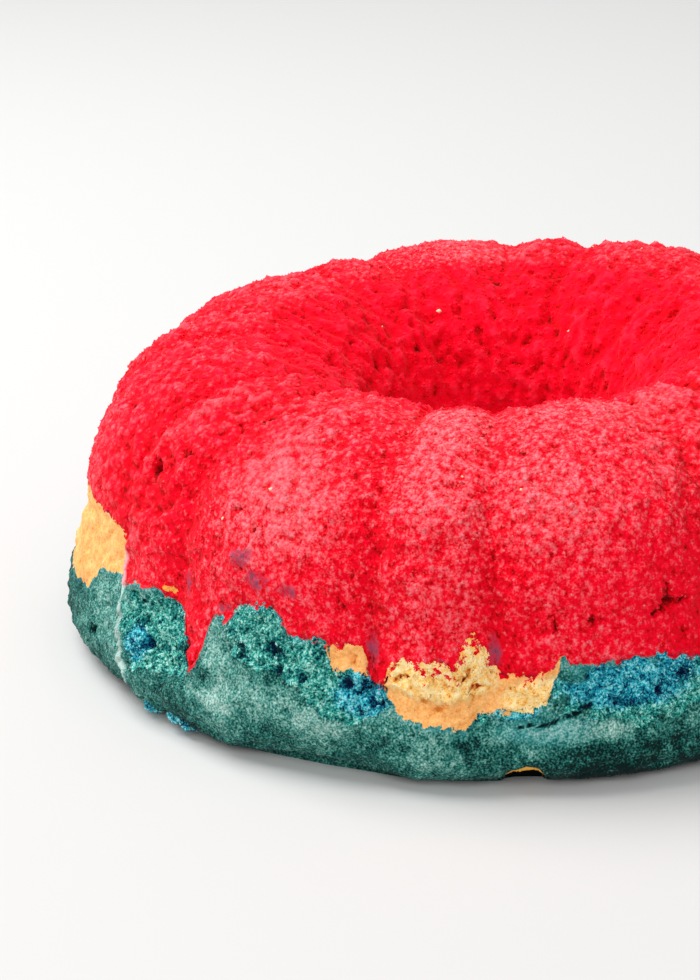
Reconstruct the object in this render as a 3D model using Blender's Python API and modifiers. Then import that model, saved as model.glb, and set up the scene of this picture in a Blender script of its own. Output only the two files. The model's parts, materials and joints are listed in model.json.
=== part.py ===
"""Bundt cake: a fluted ring of red, golden and blue sponge that rests on its wide base.

The ring is turned from one outline and fluted, then parted into the three sponges that were
poured on each other: red on top, golden in the middle, blue at the base. The golden sponge runs
all the way round inside and comes to the surface only in windows between red and blue.

+Z is up, the origin is the centre of the base and the front faces -Y. An azimuth is in degrees
round the ring, 0 at the front and growing towards +X. Lengths are in metres.
"""
import math

import bmesh
import bpy
from mathutils import Vector, noise

MM = 0.001

# ---------------------------------------------------------------- driving dimensions
RADIUS = 127.0 * MM  # widest, round the foot
HEIGHT = 81.0 * MM
CREST_RADIUS = 74.5 * MM  # ring of the highest points
WAIST_RADIUS = 119.5 * MM  # the wall above the blue foot
BASE_RADIUS = 119.2 * MM  # edge of the flat underside
HOLE_RADIUS = 26.0 * MM  # at the underside
GAP = 0.3 * MM  # between two sponges that touch

STEPS = 120  # round the ring, 3 degrees each
FLUTE_COUNT = 8  # wide lobes, with a narrow ridge between every two
FLUTE_ARC = 360.0 / FLUTE_COUNT
RIDGE_ARC = 15.0  # width of a narrow ridge, and the wide lobe takes the rest
FIRST_RIDGE = -13.5  # azimuth of the narrow ridge nearest the front
FLUTE_DEPTH = 4.6 * MM  # of a crease below the lobe's crest
CREST_FLUTING = 0.72  # share of that depth at the crest, where the flutes run into the hole
RIDGE_DROP = 0.2  # a narrow ridge's crest lies this share of the depth below a lobe's
CREASE_SHARPNESS = 0.88  # towards 1 the lobes meet in a sharper crease

# Half section of the ring, from the hole's lower edge over the crest to the underside
OUTLINE = (  # radius, height, faces up to the next point
    (HOLE_RADIUS, 0.0, 1),
    (HOLE_RADIUS + 0.8 * MM, 4.0 * MM, 1),
    (29.5 * MM, 22.0 * MM, 1),
    (33.0 * MM, 40.0 * MM, 1),
    (38.7 * MM, 58.0 * MM, 2),
    (46.5 * MM, 69.0 * MM, 2),
    (58.0 * MM, 77.0 * MM, 2),
    (CREST_RADIUS, HEIGHT, 2),
    (93.5 * MM, 77.5 * MM, 2),
    (108.5 * MM, 67.8 * MM, 2),
    (116.5 * MM, 53.5 * MM, 2),
    (WAIST_RADIUS, 38.5 * MM, 2),
    (124.0 * MM, 25.0 * MM, 2),
    (RADIUS, 13.0 * MM, 1),
    (126.6 * MM, 7.5 * MM, 1),
    (123.2 * MM, 2.0 * MM, 1),
    (BASE_RADIUS, 0.0, 0),
)

# Where red meets blue on the wall, and tongues that rise (+) or hang (-) from that height
MEETING_HEIGHT = 31.5 * MM
TONGUES = (  # azimuth, half width in degrees, rise
    (-85.0, 18.0, 4.0 * MM),
    (-56.0, 8.0, 4.0 * MM),
    (-46.0, 3.2, -8.0 * MM),  # red finger that runs down a crease
    (-37.0, 5.5, 10.0 * MM),
    (-29.0, 4.5, 5.0 * MM),
    (-20.0, 2.6, -5.0 * MM),
    (-1.0, 3.0, -3.0 * MM),
    (40.0, 5.0, 7.0 * MM),
    (77.0, 3.0, -6.0 * MM),
    (98.0, 7.0, 6.0 * MM),
    (141.0, 3.0, -5.0 * MM),
    (152.0, 5.0, 8.0 * MM),
    (199.0, 3.0, -6.0 * MM),
    (232.0, 6.0, 7.0 * MM),
)
RIPPLE = 0.9 * MM  # small ups and downs of that line

# Windows where the golden sponge reaches the wall
WINDOWS = (  # azimuth, half width in degrees, lowest and highest point
    (-81.0, 18.0, 22.5 * MM, 45.0 * MM),
    (-23.8, 2.4, 29.0 * MM, 35.5 * MM),
    (-8.0, 11.0, 17.8 * MM, 31.5 * MM),
    (64.0, 9.0, 20.0 * MM, 35.0 * MM),
    (88.0, 2.8, 28.0 * MM, 36.0 * MM),
    (126.0, 12.0, 21.0 * MM, 40.0 * MM),
    (176.0, 8.0, 22.0 * MM, 36.0 * MM),
    (216.0, 11.0, 20.0 * MM, 39.0 * MM),
)

# The golden sponge inside: a flat lens in section
LENS_HEIGHT = 34.0 * MM  # of its middle
LENS_HALF_THICKNESS = 7.0 * MM
LENS_TIP_HALF_THICKNESS = 0.6 * MM
LENS_INNER_RADIUS = 40.0 * MM
LENS_INNER_HALF_THICKNESS = 2.5 * MM
LENS_DEPTH_IN_WALL = 7.0 * MM  # how far its tip stays behind the wall
LENS_REACH_IN_WINDOW = 4.0 * MM  # past the wall, before the ring's surface trims it

# Places where crust or crumb came off: the surface sinks and turns rough
TORN_PATCHES = (  # azimuth, height, half width in degrees, half height, depth
    (-54.0, 24.0 * MM, 9.0, 13.0 * MM, 2.4 * MM),
    (-30.0, 31.0 * MM, 10.0, 8.0 * MM, 1.6 * MM),
    (-8.0, 27.0 * MM, 11.0, 8.0 * MM, 1.2 * MM),
    (11.0, 24.0 * MM, 10.0, 9.0 * MM, 1.8 * MM),
    (-59.0, 60.0 * MM, 6.0, 10.0 * MM, 1.3 * MM),
    (64.0, 26.0 * MM, 10.0, 9.0 * MM, 1.5 * MM),
    (104.0, 24.0 * MM, 9.0, 10.0 * MM, 1.9 * MM),
    (172.0, 27.0 * MM, 12.0, 8.0 * MM, 1.4 * MM),
    (236.0, 24.0 * MM, 9.0, 11.0 * MM, 2.0 * MM),
)
TORN_GRAIN = 9.0 * MM  # size of the lumps in a torn patch
BASE_NOTCHES = (  # azimuth, half width in degrees, how far the foot's edge is drawn in
    (-2.5, 3.5, 2.6 * MM),
    (58.0, 4.0, 2.0 * MM),
    (147.0, 3.0, 2.4 * MM),
    (250.0, 4.0, 2.2 * MM),
)
NOTCH_HEIGHT = 6.0 * MM
UNEVENNESS = 0.5 * MM  # slow wander of the whole surface
UNEVEN_SIZE = 45.0 * MM

RED = (0.63, 0.012, 0.028, 1.0)
GOLD = (0.78, 0.37, 0.11, 1.0)
BLUE_GREEN = (0.025, 0.16, 0.15, 1.0)
CRUMB_ROUGHNESS = 0.9

SHORTEST_EDGE = 0.02 * MM  # shorter ones, left by a cut, are closed up
FLAT_ANGLE = 0.3  # degrees; pieces of a face that are this flat are joined again


# ---------------------------------------------------------------- small helpers
def smoothstep(value, low, high):
    """0 below low, 1 above high, and a smooth rise between."""
    share = min(max((value - low) / (high - low), 0.0), 1.0)
    return share * share * (3.0 - 2.0 * share)


def angle_between(azimuth, other):
    """Signed difference of two azimuths, from -180 to 180 degrees."""
    return (azimuth - other + 180.0) % 360.0 - 180.0


def azimuth_of(point):
    return math.degrees(math.atan2(point.x, -point.y))


def at_azimuth(azimuth, radius, height):
    turn = math.radians(azimuth)
    return Vector((radius * math.sin(turn), -radius * math.cos(turn), height))


def smooth_curve(points):
    """Centripetal Catmull-Rom curve through the points of an outline."""
    knots = [Vector(point[:2]) for point in points]
    knots = [2 * knots[0] - knots[1]] + knots + [2 * knots[-1] - knots[-2]]
    curve = []
    spans = zip(knots, knots[1:], knots[2:], knots[3:], points)
    for before, start, end, after, (_, _, faces) in spans:
        t1 = (start - before).length ** 0.5
        t2 = t1 + (end - start).length ** 0.5
        t3 = t2 + (after - end).length ** 0.5
        for face in range(faces):
            t = t1 + (t2 - t1) * face / faces
            a1 = before.lerp(start, t / t1)
            a2 = start.lerp(end, (t - t1) / (t2 - t1))
            a3 = end.lerp(after, (t - t2) / (t3 - t2))
            b1 = a1.lerp(a2, t / t2)
            b2 = a2.lerp(a3, (t - t1) / (t3 - t1))
            curve.append(b1.lerp(b2, (t - t1) / (t2 - t1)))
    curve.append(knots[-2])
    return [tuple(point) for point in curve]


def turned_ring(name, section, start_azimuth, steps=STEPS):
    """Turn a closed section, listed down its outer side, into a ring. Attribute "row" keeps
    each vertex's place in the section."""
    profile = bpy.data.meshes.new(name + "_section")
    count = len(section)
    edges = [(row, (row + 1) % count) for row in range(count)]
    profile.from_pydata([(radius, 0.0, height) for radius, height in section], edges, [])
    rows = profile.attributes.new("row", "INT", "POINT")
    rows.data.foreach_set("value", range(count))
    ring = bpy.data.objects.new(name, profile)
    bpy.context.scene.collection.objects.link(ring)
    screw = ring.modifiers.new("turn", "SCREW")
    screw.angle = 2.0 * math.pi
    screw.steps = steps
    screw.render_steps = steps
    screw.use_merge_vertices = True
    screw.merge_threshold = 0.00001
    ring.rotation_euler.z = math.radians(start_azimuth - 90.0)
    return apply_modifiers(ring)


def apply_modifiers(thing):
    """Make the modifiers' result and the object's place its own mesh."""
    depsgraph = bpy.context.evaluated_depsgraph_get()
    mesh = bpy.data.meshes.new_from_object(thing.evaluated_get(depsgraph))
    mesh.transform(thing.matrix_world)
    thing.modifiers.clear()
    thing.data = mesh
    thing.matrix_basis.identity()
    return thing


def shape_by_row(ring, section_at):
    """Move each vertex to its row's place in the section at that azimuth."""
    rows = ring.data.attributes["row"].data
    sections = {}
    for vertex, row in zip(ring.data.vertices, rows):
        azimuth = azimuth_of(vertex.co)
        key = round(azimuth, 3)
        if key not in sections:
            sections[key] = section_at(azimuth)
        radius, height = sections[key][row.value]
        vertex.co = at_azimuth(azimuth, radius, height)
    ring.data.update()


def split_quads(mesh, method="BEAUTY"):
    """Split the faces into triangles, so that no twisted face is read in two ways."""
    work = bmesh.new()
    work.from_mesh(mesh)
    bmesh.ops.triangulate(work, faces=work.faces, quad_method=method)
    work.to_mesh(mesh)
    work.free()


def boolean(thing, cutter, operation):
    modifier = thing.modifiers.new(cutter.name, "BOOLEAN")
    modifier.operation = operation
    modifier.object = cutter
    bpy.context.view_layer.update()
    return apply_modifiers(thing)


def crumb_material(name, colour):
    material = bpy.data.materials.new(name)
    material.use_nodes = True
    shader = material.node_tree.nodes["Principled BSDF"]
    shader.inputs["Base Color"].default_value = colour
    shader.inputs["Roughness"].default_value = CRUMB_ROUGHNESS
    shader.inputs["Metallic"].default_value = 0.0
    material.diffuse_color = colour
    return material


# ---------------------------------------------------------------- the ring's own surface
def flute_sink(azimuth):
    """Depth of the fluting below a wide lobe's crest, as a share of FLUTE_DEPTH."""
    from_ridge = abs((azimuth - FIRST_RIDGE + FLUTE_ARC / 2) % FLUTE_ARC - FLUTE_ARC / 2)
    ridge_half = RIDGE_ARC / 2
    lobe_half = (FLUTE_ARC - RIDGE_ARC) / 2
    if from_ridge < ridge_half:
        across = from_ridge / ridge_half
        crest_drop = RIDGE_DROP
    else:
        across = (FLUTE_ARC / 2 - from_ridge) / lobe_half
        crest_drop = 0.0
    arch = 1.0 - math.sqrt(1.0 - (CREASE_SHARPNESS * across) ** 2)
    arch /= 1.0 - math.sqrt(1.0 - CREASE_SHARPNESS ** 2)
    return crest_drop + (1.0 - crest_drop) * arch


def flute_strength(radius, height):
    """Flutes are full at the shoulder, fade towards the foot and end a little way down the hole."""
    if radius < CREST_RADIUS:
        return CREST_FLUTING * smoothstep(height, 0.55 * HEIGHT, HEIGHT)
    shoulder = 1.0 - (1.0 - CREST_FLUTING) * smoothstep(height, 0.75 * HEIGHT, HEIGHT)
    foot = 0.1 + 0.9 * smoothstep(height, -0.05 * HEIGHT, 0.5 * HEIGHT)
    return shoulder * foot


def torn_depth(azimuth, height, place):
    """How far the surface is sunk where crust came off the outer wall."""
    depth = 0.0
    for centre, middle, half_arc, half_height, sink in TORN_PATCHES:
        across = angle_between(azimuth, centre) / half_arc
        along = (height - middle) / half_height
        inside = 1.0 - smoothstep(math.hypot(across, along), 0.6, 1.0)
        if inside > 0.0:
            lumps = 0.7 + 0.9 * noise.noise(place / TORN_GRAIN)
            depth = max(depth, sink * inside * lumps)
    return depth


def notch_depth(azimuth, height):
    depth = 0.0
    for centre, half_arc, sink in BASE_NOTCHES:
        across = abs(angle_between(azimuth, centre)) / half_arc
        low = 1.0 - smoothstep(height, 0.0, NOTCH_HEIGHT)
        depth = max(depth, sink * low * (1.0 - smoothstep(across, 0.3, 1.0)))
    return depth


def fluted_ring(name):
    """The whole cake as one solid."""
    ring = turned_ring(name, smooth_curve(OUTLINE), FIRST_RIDGE + RIDGE_ARC / 2)
    normals = [vertex.normal.copy() for vertex in ring.data.vertices]
    for vertex, normal in zip(ring.data.vertices, normals):
        place = vertex.co.copy()
        radius = math.hypot(place.x, place.y)
        azimuth = azimuth_of(place)
        sink = FLUTE_DEPTH * flute_sink(azimuth) * flute_strength(radius, place.z)
        if radius > CREST_RADIUS:
            sink += torn_depth(azimuth, place.z, place)
            sink += notch_depth(azimuth, place.z)
        above_base = smoothstep(place.z, 0.0, 0.2 * HEIGHT)
        sink += UNEVENNESS * noise.noise(place / UNEVEN_SIZE) * above_base
        vertex.co = place - normal * sink
        vertex.co.z = max(vertex.co.z, 0.0) if place.z > 0.0 else 0.0
    ring.data.update()
    return ring


# ---------------------------------------------------------------- where the sponges part
def meeting_height(azimuth):
    """Height on the wall where red and blue meet."""
    turn = math.radians(azimuth)
    height = MEETING_HEIGHT
    height += RIPPLE * (math.sin(13 * turn) + 0.7 * math.sin(29 * turn + 1.0))
    for centre, half_arc, rise in TONGUES:
        across = abs(angle_between(azimuth, centre)) / half_arc
        height += rise * (1.0 - smoothstep(across, 0.2, 1.0))
    return height


def window_at(azimuth):
    """Openness from 0 to 1, and the lowest and highest point of the window at this azimuth."""
    meeting = meeting_height(azimuth)
    for centre, half_arc, lowest, highest in WINDOWS:
        across = abs(angle_between(azimuth, centre)) / half_arc
        if across < 1.0:
            openness = math.sqrt(1.0 - across ** 4)
            low = meeting + (lowest - meeting) * openness
            high = meeting + (highest - meeting) * openness
            return openness, min(low, high), max(low, high)
    return 0.0, meeting, meeting


def lens_section(azimuth, grow):
    """Section of the golden sponge, listed down its outer side and grown on every side."""
    openness, low, high = window_at(azimuth)
    if openness > 0.0:
        tip_radius = RADIUS + LENS_REACH_IN_WINDOW
    else:
        tip_radius = WAIST_RADIUS - LENS_DEPTH_IN_WALL
    tip_high = max(high, (low + high) / 2 + LENS_TIP_HALF_THICKNESS) + grow
    tip_low = min(low, (low + high) / 2 - LENS_TIP_HALF_THICKNESS) - grow
    shoulder_radius = WAIST_RADIUS - 3 * LENS_DEPTH_IN_WALL
    half = LENS_HALF_THICKNESS + grow
    inner_radius = LENS_INNER_RADIUS - grow
    inner_half = LENS_INNER_HALF_THICKNESS + grow
    return (
        (tip_radius + grow, tip_high),
        (tip_radius + grow, tip_low),
        (shoulder_radius, LENS_HEIGHT - half),
        (inner_radius, LENS_HEIGHT - inner_half),
        (inner_radius, LENS_HEIGHT + inner_half),
        (shoulder_radius, LENS_HEIGHT + half),
    )


def slab_section(azimuth, lift):
    """Section of all that lies above the meeting of red and blue, listed down its outer side.
    The meeting is lifted by this much."""
    outside = RADIUS + 10 * MM
    inside = HOLE_RADIUS / 2
    top = HEIGHT + 10 * MM
    wall_height = meeting_height(azimuth) + lift
    inner_height = LENS_HEIGHT + lift
    return (
        (outside, top),
        (outside, wall_height),
        (WAIST_RADIUS - LENS_DEPTH_IN_WALL, wall_height),
        (LENS_INNER_RADIUS, inner_height),
        (inside, inner_height),
        (inside, top),
    )


def shaped_cutter(name, section_at):
    """A ring whose section changes with the azimuth, half a step off the cake's own rows."""
    start = FIRST_RIDGE + RIDGE_ARC / 2 + 180.0 / STEPS
    ring = turned_ring(name, section_at(start), start)
    split_quads(ring.data, "FIXED")
    shape_by_row(ring, section_at)
    return ring


# ---------------------------------------------------------------- the three sponges
def scraps(work):
    """Faces of every piece but the largest one."""
    unseen = set(work.faces)
    pieces = []
    while unseen:
        piece = set()
        border = [unseen.pop()]
        while border:
            face = border.pop()
            piece.add(face)
            for neighbour in (other for edge in face.edges for other in edge.link_faces):
                if neighbour in unseen:
                    unseen.remove(neighbour)
                    border.append(neighbour)
        pieces.append(piece)
    pieces.sort(key=len)
    return [face for piece in pieces[:-1] for face in piece]


def tidy_mesh(thing):
    """Drop what the cuts left behind: the row attribute, loose scraps, edges without length,
    the splits of flat faces, and flaps, which are two triangles on the same corners that
    enclose nothing."""
    attribute = thing.data.attributes.get("row")
    if attribute:
        thing.data.attributes.remove(attribute)
    work = bmesh.new()
    work.from_mesh(thing.data)
    bmesh.ops.dissolve_degenerate(work, dist=SHORTEST_EDGE, edges=work.edges)
    bmesh.ops.dissolve_limit(
        work, angle_limit=math.radians(FLAT_ANGLE), verts=work.verts, edges=work.edges
    )
    bmesh.ops.triangulate(work, faces=work.faces)
    corners = {}
    for face in work.faces:
        corners.setdefault(frozenset(face.verts), []).append(face)
    flaps = [face for faces in corners.values() if len(faces) > 1 for face in faces]
    bmesh.ops.delete(work, geom=flaps, context="FACES")
    bmesh.ops.delete(work, geom=scraps(work), context="FACES")
    work.to_mesh(thing.data)
    work.free()


def finish(thing, material):
    tidy_mesh(thing)
    thing.data.materials.clear()
    thing.data.materials.append(material)
    thing.data.shade_smooth()
    thing.data.set_sharp_from_angle(angle=math.radians(50.0))


def red_sponge():
    red = fluted_ring("red_sponge")
    boolean(red, shaped_cutter("red_room", lambda a: slab_section(a, GAP / 2)), "INTERSECT")
    boolean(red, shaped_cutter("golden_room_red", lambda a: lens_section(a, GAP)), "DIFFERENCE")
    finish(red, crumb_material("red sponge", RED))
    return red


def golden_sponge():
    golden = fluted_ring("golden_sponge")
    boolean(golden, shaped_cutter("golden_lens", lambda a: lens_section(a, 0.0)), "INTERSECT")
    finish(golden, crumb_material("golden sponge", GOLD))
    return golden


def blue_sponge():
    blue = fluted_ring("blue_sponge")
    boolean(blue, shaped_cutter("not_blue", lambda a: slab_section(a, -GAP / 2)), "DIFFERENCE")
    boolean(blue, shaped_cutter("golden_room_blue", lambda a: lens_section(a, GAP)), "DIFFERENCE")
    finish(blue, crumb_material("blue sponge", BLUE_GREEN))
    return blue


def collection(name):
    group = bpy.data.collections.new(name)
    bpy.context.scene.collection.children.link(group)
    return group


def main():
    for thing in list(bpy.data.objects):
        bpy.data.objects.remove(thing, do_unlink=True)
    sponges = [red_sponge(), golden_sponge(), blue_sponge()]
    cake = collection("bundt_cake")
    cutters = collection("cutters")
    for thing in list(bpy.context.scene.collection.objects):
        bpy.context.scene.collection.objects.unlink(thing)
        if thing in sponges:
            cake.objects.link(thing)
        else:
            cutters.objects.link(thing)
            thing.hide_render = True
            thing.display_type = "WIRE"


main()
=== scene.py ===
"""Looks of the bundt cake: a fluted ring of red, golden and blue sponge, baked in one mould.

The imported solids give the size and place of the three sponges. Each is modelled again here as a
fine ring: a closed section is spun round the axis, and its points then follow the fluted
surface and the ragged lines where the sponges meet. Crumb, torn crust, pits, folds and cracks
are relief in these meshes, and loose grains lie on them as meshes of their own.

An azimuth is in degrees, 0 at the front (-Y) and growing towards +X. Widths round the ring are
in degrees too. Other lengths in a table are in mm.
"""
import json
import math

import bpy
import numpy as np
from mathutils import Euler, Matrix, Vector, noise

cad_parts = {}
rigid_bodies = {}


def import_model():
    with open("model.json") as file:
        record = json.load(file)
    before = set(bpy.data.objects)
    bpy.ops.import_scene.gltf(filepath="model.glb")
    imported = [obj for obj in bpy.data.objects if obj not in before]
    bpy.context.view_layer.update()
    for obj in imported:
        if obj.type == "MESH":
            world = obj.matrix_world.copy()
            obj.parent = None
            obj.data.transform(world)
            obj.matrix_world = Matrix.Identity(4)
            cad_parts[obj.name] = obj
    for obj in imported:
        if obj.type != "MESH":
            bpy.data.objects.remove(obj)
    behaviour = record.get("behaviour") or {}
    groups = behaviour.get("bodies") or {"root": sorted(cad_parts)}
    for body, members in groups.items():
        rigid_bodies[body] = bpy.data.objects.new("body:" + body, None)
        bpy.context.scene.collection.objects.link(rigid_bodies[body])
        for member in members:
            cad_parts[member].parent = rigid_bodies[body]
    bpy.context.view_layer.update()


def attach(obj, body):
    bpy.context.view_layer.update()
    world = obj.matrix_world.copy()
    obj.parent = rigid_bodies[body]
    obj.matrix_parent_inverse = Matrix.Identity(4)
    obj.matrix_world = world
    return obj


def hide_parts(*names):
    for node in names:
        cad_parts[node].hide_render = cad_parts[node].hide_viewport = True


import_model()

MM = 0.001


def in_metres(columns, rows):
    """The rows of a table, with the lengths in these columns turned from mm to metres."""
    return tuple(
        tuple(value * MM if column in columns else value for column, value in enumerate(row))
        for row in rows
    )


# ---- the form
# As in the solids, but with sharper creases
HEIGHT = 81.0 * MM
CREST_RADIUS = 74.5 * MM
WAIST_RADIUS = 119.5 * MM
BASE_RADIUS = 119.2 * MM
HOLE_RADIUS = 26.0 * MM

FLUTE_ARC = 45.0  # from one wide lobe to the next
RIDGE_ARC = 15.0  # width of the narrow ridge between two lobes
FIRST_RIDGE = -13.5
FLUTE_DEPTH = 4.6 * MM
CREST_FLUTING = 0.72  # share of the depth at the crest
RIDGE_DROP = 0.2  # how much lower a narrow ridge is, as a share of the depth
CREASE_SHARPNESS = 0.93  # 0.88 in the solids
CREASE_FILLET = 0.9  # to each side of a crease, over which it is rounded
CREST_FADE = 0.75  # share of the height from which the fluting weakens upwards
THROAT_FADE = 0.55  # from which it grows inside the hole
FOOT_FADE = 0.5  # and below which it weakens

OUTLINE = (  # radius and height, from the hole's lower edge over the crest to the underside
    (HOLE_RADIUS, 0.0),
    (HOLE_RADIUS + 0.8 * MM, 4.0 * MM),
    *in_metres([0, 1], ((29.5, 22), (33, 40), (38.7, 58), (46.5, 69), (58, 77))),
    (CREST_RADIUS, HEIGHT),
    *in_metres([0, 1], ((93.5, 77.5), (108.5, 67.8), (116.5, 53.5))),
    (WAIST_RADIUS, 38.5 * MM),
    *in_metres([0, 1], ((124, 25), (127, 13), (126.6, 7.5), (123.2, 2))),
    (BASE_RADIUS, 0.0),
)

MEETING_HEIGHT = 31.5 * MM  # where red meets blue on the wall
TONGUES = in_metres([2], (  # azimuth, half width, rise
    (-85, 18, 4), (-56, 8, 4), (-46, 3.2, -8), (-37, 5.5, 10), (-29, 4.5, 5), (-20, 2.6, -5),
    (-1, 3, -3), (40, 5, 7), (77, 3, -6), (98, 7, 6), (141, 3, -5), (152, 5, 8), (199, 3, -6),
    (232, 6, 7),
))
TONGUE_FLAT = 0.2  # share of its half width that has the full rise
RIPPLE = 0.9 * MM
# Where golden sponge shows: azimuth, half width, lowest and highest point
WINDOWS = in_metres([2, 3], (
    (-81, 18, 22.5, 45), (-23.8, 2.4, 29, 35.5), (-8, 11, 17.8, 31.5), (64, 9, 20, 35),
    (88, 2.8, 28, 36), (126, 12, 21, 40), (176, 8, 22, 36), (216, 11, 20, 39),
))
RAGGED = 0.7 * MM  # fine up and down of those lines
RAGGED_SIZE = 3.0 * MM

# The golden lens inside, on which the others lie: radius and height of its two faces
BED_TOP = ((40.0 * MM, 36.5 * MM), (98.5 * MM, 41.0 * MM))
BED_UNDER = ((40.0 * MM, 31.5 * MM), (98.5 * MM, 27.0 * MM))
BED_MIDDLE = 34.0 * MM
BED_INSET = 7.0 * MM  # where no golden sponge shows, its tip stays this far behind the wall
TIP_RADIUS = WAIST_RADIUS - BED_INSET
TIP_THICKNESS = 1.2 * MM

TORN_PATCHES = in_metres([1, 3, 4], (  # azimuth, height, half width, half height, depth
    (-54, 24, 9, 13, 2.4), (-30, 31, 10, 8, 1.6), (-8, 27, 11, 8, 1.2), (11, 24, 10, 9, 1.8),
    (-59, 60, 6, 10, 1.3), (64, 26, 10, 9, 1.5), (104, 24, 9, 10, 1.9), (172, 27, 12, 8, 1.4),
    (236, 24, 9, 11, 2),
))
TORN_GRAIN = 9.0 * MM
TORN_LEVEL = 0.7  # mean depth, as a share of the stated one
TORN_SWING = 0.9
TORN_FULL = 0.6  # share of a patch's reach that is wholly torn
NOTCHES = in_metres([2], (  # where the foot's edge is drawn in: azimuth, half width, depth
    (-2.5, 3.5, 2.6), (58, 4, 2), (147, 3, 2.4), (250, 4, 2.2),
))
NOTCH_HEIGHT = 6.0 * MM
NOTCH_FLAT = 0.3  # share of its half width that has the full depth
UNEVENNESS = 0.5 * MM
UNEVEN_SIZE = 45.0 * MM
UNEVEN_FROM = 0.2  # share of the height, below which it fades out

# ---- what is finer than the solids
COLUMNS = 720  # faces round a ring: 1.1 mm at the foot
WALL_ROWS = 84  # red sponge, from its lower edge to the crest
HOLE_ROWS = 44  # red sponge, from the crest down the hole
TIP_ROWS = 40  # golden sponge, down the wall
FOOT_ROWS = 72  # blue sponge, from its upper edge to the underside
UNDER_ROWS = 12
INNER_ROWS = 16  # blue sponge, up the hole
BLUE_ROWS = FOOT_ROWS + UNDER_ROWS + INNER_ROWS

FOOT_FLUTING = 0.3  # share of the fluting left at the foot, 0.12 in the solids
LUMP_SIZE = 5.0 * MM
LUMP_DEPTH = 0.9 * MM
CRUMB_SIZE = 2.4 * MM
CRUMB_DEPTH = 0.7 * MM
CRAG_SIZE = 3.2 * MM  # in torn crust
CRAG_DEPTH = 1.5 * MM
CRAG_DETAIL = 0.6  # of crags of half that size
SOFTER_LUMPS = 0.5  # how much deeper the lumps are where the crust is soft
SOFTER_CRUMB = 0.8
SMOOTH_FOOT = 4.0 * MM  # height below which both fade out
TORN_STRAY = 0.3  # how far a torn edge strays, in half widths, at two sizes
TORN_BAYS = 7.0 * MM
TORN_FRAY = 2.8 * MM

# Narrow tongues that the solids leave out: azimuth, half width, rise
DRIPS = in_metres([2], ((-45.2, 1.8, -4), (-42.4, 1.8, 4.5), (-33, 2.8, 5.5)))
# Steps on a golden window's lower and upper edge, with the share of each that is flat
LOW_TONGUES = in_metres([2], (
    (-3.4, 5.8, 3.8, 0.7), (4.5, 5, 11, 0.3), (-67, 6, 8, 0.45), (59, 4.5, 5, 0.3),
    (134, 5, 7, 0.3), (171, 4, 5, 0.2), (209, 5.5, 6, 0.4),
))
HIGH_TONGUES = in_metres([2], (
    (-8.2, 2.4, 6, 0.1), (-12.5, 1.8, 2, 0.1), (-16.8, 1.4, 2, 0.1), (-2.6, 3.6, -1.6, 0.3),
    (2.3, 1.6, 1.8, 0.3), (-88, 4, 3, 0.2), (62, 2, 5, 0.2), (122, 2, 5, 0.2),
    (130, 4, -4, 0.3), (179, 2.4, 4, 0.2), (213, 3, 5, 0.2), (221, 2.5, -3, 0.2),
))

ZONE_FULL = 0.2  # share of a zone's reach that is wholly inside
THIN_TORN = in_metres([1, 3, 4], (  # torn crust that is too shallow for the solids
    (-36.5, 38, 6, 8.5, 0.7), (-23, 25, 6.5, 9, 1), (17, 26, 9, 9.5, 1.2),
    (92, 28, 9, 7, 0.8), (228, 30, 8, 7, 0.8),
))
PITS = in_metres([1, 2, 3], (  # azimuth, height, radius, depth
    (15.5, 44.7, 2.2, 2.4), (14.6, 43, 1.4, 1.6), (17, 37, 1.1, 0.9), (1.5, 42.2, 1.3, 1.3),
    (6, 42.2, 1.4, 1.5), (-56, 70.7, 2.6, 1.1), (-60.9, 65.7, 2.2, 0.9),
    (-58.3, 68.6, 1.5, 0.8), (-47.5, 79.2, 3.2, 1.3), (-51, 78, 1.8, 0.9),
    (-41, 63.4, 1.5, 1), (-37.8, 59.6, 1.8, 1.1), (-68.5, 14.7, 1.7, 2), (-55, 21.5, 3, 2.8),
    (-56.8, 26, 2.2, 2), (-58.5, 31, 1.6, 1.5), (-47, 25, 2, 1.8), (-46, 21.5, 1.8, 1.6),
    (-37.5, 29, 1.8, 1.6), (-33.5, 31.6, 2.2, 2), (-32.5, 27, 2, 1.8), (-29, 26, 1.8, 1.6),
    (-23.5, 26.5, 2.3, 2), (-21, 26, 2.2, 2), (-20.2, 22.5, 1.8, 1.6), (-17, 29.4, 1.4, 1.4),
    (-14, 24, 1.1, 0.9), (-12.6, 22.4, 1.2, 0.9), (-9.5, 29.6, 1.6, 1.6),
    (-8.4, 28, 1.2, 1.2), (-4, 27.2, 1, 0.8), (-22.9, 31.5, 1, 0.8), (5, 29, 1.4, 1.4),
    (8.5, 22.5, 1.6, 1.6), (13, 24, 2, 2), (16.5, 27, 2, 2),
))
HOLE_PITS = in_metres([1, 2, 3], (  # on the hole's side
    (-167.5, 69.8, 2.4, 0.7), (-174, 64.8, 3.2, 0.8), (161, 55, 2.4, 0.6), (-158, 58, 3, 0.7),
))
LOOSE_PITS = 420  # small ones, drawn between these shares of the outline
LOOSE_PIT_REACH = (0.2, 0.93)
LOOSE_PIT_RADIUS = (0.7, 1.5)  # mm
LOOSE_PIT_DEPTH = (0.2, 0.45)  # share of the radius
DARK_PIT = 1.5 * MM  # a pit this deep gets the full painted shade
PIT_FLOOR = 0.25  # share of the radius that has the full depth
PIT_STRAY = 1.1  # how ragged a pit's edge is
PIT_STRAY_SIZE = 1.8 * MM
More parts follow.
